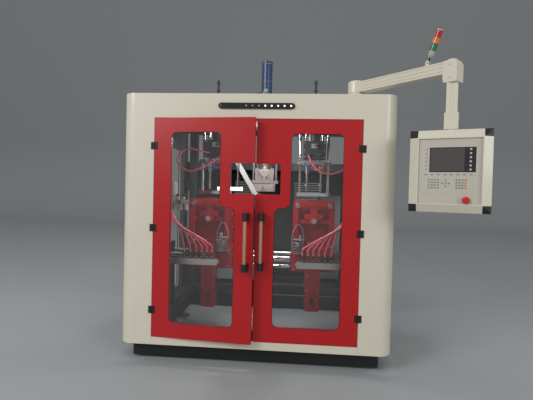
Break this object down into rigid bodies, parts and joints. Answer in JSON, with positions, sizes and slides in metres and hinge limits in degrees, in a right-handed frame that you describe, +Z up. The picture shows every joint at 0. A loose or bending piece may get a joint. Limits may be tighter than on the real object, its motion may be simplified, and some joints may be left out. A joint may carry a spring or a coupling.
{
  "type": "blow moulding machine",
  "caption": "Enclosed extrusion blow moulding machine with glazed hinged front doors, sliding mould carriages, a rear extruder and a control panel on a swing arm",
  "frame": {"origin": "on the floor, at the middle of the four corner anchor holes under the base", "axes": "+X to the right along the front, +Y from the front into the machine, +Z up"},
  "size_m": [3.0092, 4.1525, 2.939],
  "materials": {
    "cream_paint": "satin powder coat",
    "red_paint": "gloss powder coat",
    "black_paint": "satin",
    "dark_paint": "satin",
    "grey_paint": "satin",
    "blue_paint": "satin",
    "clear_sheet": "clear, slightly grey",
    "steel": "ground",
    "chrome_rod": "polished",
    "aluminium": "milled",
    "bronze_tube": "anodised look",
    "black_plastic": "matt",
    "pale_plastic": "satin",
    "grey_plastic": "satin",
    "red_plastic": "gloss",
    "red_hose": "smooth",
    "black_hose": "smooth",
    "lamp_white": "opal"
  },
  "bodies": {
    "machine": {"base_frame": "black_paint", "levelling_pads": "steel", "inner_frame": "dark_paint", "front_surround": "cream_paint", "sill_panel": "cream_paint", "side_panel_left": "cream_paint", "side_panel_right": "cream_paint", "window_panes": "clear_sheet", "rear_side_left": "cream_paint", "rear_side_right": "cream_paint", "rear_wall": "cream_paint", "roof_panel": "cream_paint", "rear_deck": "cream_paint", "sign_bar": "black_plastic", "frame_hinges": "black_paint", "lamp_bar": "lamp_white", "control_cabinet": "grey_paint", "guide_rods": "chrome_rod", "head_stand": "steel", "die_head": "steel", "control_cylinder": "blue_paint", "cylinder_hose": "black_hose", "extruder_barrel": "steel", "heater_bands": "steel", "gearbox": "blue_paint", "drive_motor": "dark_paint", "hopper": "steel", "blow_frame_left": "dark_paint", "blow_frame_right": "dark_paint", "hydraulic_unit": "grey_paint", "water_manifolds": "aluminium", "water_hoses": "red_hose", "air_unit": "grey_plastic", "arm_pedestal": "cream_paint"},
    "left_door": {"left_door_leaf": "red_paint", "left_door_pane": "clear_sheet", "left_handle": "bronze_tube", "left_door_hinges": "black_paint"},
    "right_door": {"right_door_leaf": "red_paint", "right_door_pane": "clear_sheet", "right_handle": "bronze_tube", "right_door_hinges": "black_paint"},
    "left_station": {"left_carriage": "red_paint"},
    "right_station": {"right_carriage": "red_paint"},
    "left_front_mould": {"left_front_platen": "red_paint"},
    "left_rear_mould": {"left_rear_platen": "red_paint"},
    "right_front_mould": {"right_front_platen": "red_paint"},
    "right_rear_mould": {"right_rear_platen": "red_paint"},
    "left_blowing_head": {"blow_head_left": "steel"},
    "right_blowing_head": {"blow_head_right": "steel"},
    "cutter": {"parison_cutter": "steel"},
    "screw": {"extruder_screw": "steel"},
    "rear_service_door": {"service_door": "cream_paint"},
    "panel_arm": {"swing_arm": "cream_paint", "drop_tube": "cream_paint"},
    "control_panel": {"panel_housing": "cream_paint", "panel_corners": "black_plastic", "panel_face": "pale_plastic"},
    "stop_button": {"emergency_stop": "red_plastic"},
    "beacon": {"signal_tower": "grey_plastic"}
  },
  "joints": [
    {"name": "left_door_hinge", "type": "hinge", "parent": "machine", "child": "left_door", "pos_m": [-0.901, -1.856, 1.2], "axis": [0, 0, -1], "range_deg": [-5.2, 100]},
    {"name": "right_door_hinge", "type": "hinge", "parent": "machine", "child": "right_door", "pos_m": [0.901, -1.856, 1.2], "axis": [0, 0, 1], "range_deg": [0, 105]},
    {"name": "left_station_slide", "type": "slide", "parent": "machine", "child": "left_station", "axis": [1, 0, 0], "range_m": [0, 0.53]},
    {"name": "right_station_slide", "type": "slide", "parent": "machine", "child": "right_station", "axis": [1, 0, 0], "range_m": [-0.53, 0]},
    {"name": "left_front_clamp", "type": "slide", "parent": "left_station", "child": "left_front_mould", "axis": [0, 1, 0], "range_m": [0, 0.08]},
    {"name": "left_rear_clamp", "type": "slide", "parent": "left_station", "child": "left_rear_mould", "axis": [0, 1, 0], "range_m": [-0.08, 0]},
    {"name": "right_front_clamp", "type": "slide", "parent": "right_station", "child": "right_front_mould", "axis": [0, 1, 0], "range_m": [0, 0.08]},
    {"name": "right_rear_clamp", "type": "slide", "parent": "right_station", "child": "right_rear_mould", "axis": [0, 1, 0], "range_m": [-0.08, 0]},
    {"name": "left_blow_slide", "type": "slide", "parent": "machine", "child": "left_blowing_head", "axis": [0, 0, 1], "range_m": [-0.13, 0]},
    {"name": "right_blow_slide", "type": "slide", "parent": "machine", "child": "right_blowing_head", "axis": [0, 0, 1], "range_m": [-0.13, 0]},
    {"name": "cutter_slide", "type": "slide", "parent": "machine", "child": "cutter", "axis": [0, 1, 0], "range_m": [0, 0.08]},
    {"name": "screw_turn", "type": "hinge", "parent": "machine", "child": "screw", "pos_m": [0, 0, 2.08], "axis": [0, 1, 0], "continuous": true},
    {"name": "service_door_hinge", "type": "hinge", "parent": "machine", "child": "rear_service_door", "pos_m": [1.206, 1.567, 0.9], "axis": [0, 0, 1], "range_deg": [0, 110]},
    {"name": "arm_pivot", "type": "hinge", "parent": "machine", "child": "panel_arm", "pos_m": [0.88, -1.493, 2.512], "axis": [0, 0, 1], "range_deg": [-9.4, 85]},
    {"name": "panel_swivel", "type": "hinge", "parent": "panel_arm", "child": "control_panel", "pos_m": [1.5118, -2.13817, 2.05], "axis": [0, 0, 1], "range_deg": [-75, 75]},
    {"name": "stop_button_press", "type": "slide", "parent": "control_panel", "child": "stop_button", "axis": [0.3584, 0.9336, 0], "range_m": [0, 0.005], "stiffness_N_per_m": 1500},
    {"name": "beacon_fold", "type": "hinge", "parent": "panel_arm", "child": "beacon", "pos_m": [1.36976, -1.99313, 2.593], "axis": [0.7145, 0.6997, 0], "range_deg": [-108, 8]}
  ],
  "couplings": [
    {"joint": "left_rear_clamp", "follows": "left_front_clamp", "ratio": -1},
    {"joint": "right_rear_clamp", "follows": "right_front_clamp", "ratio": -1}
  ]
}
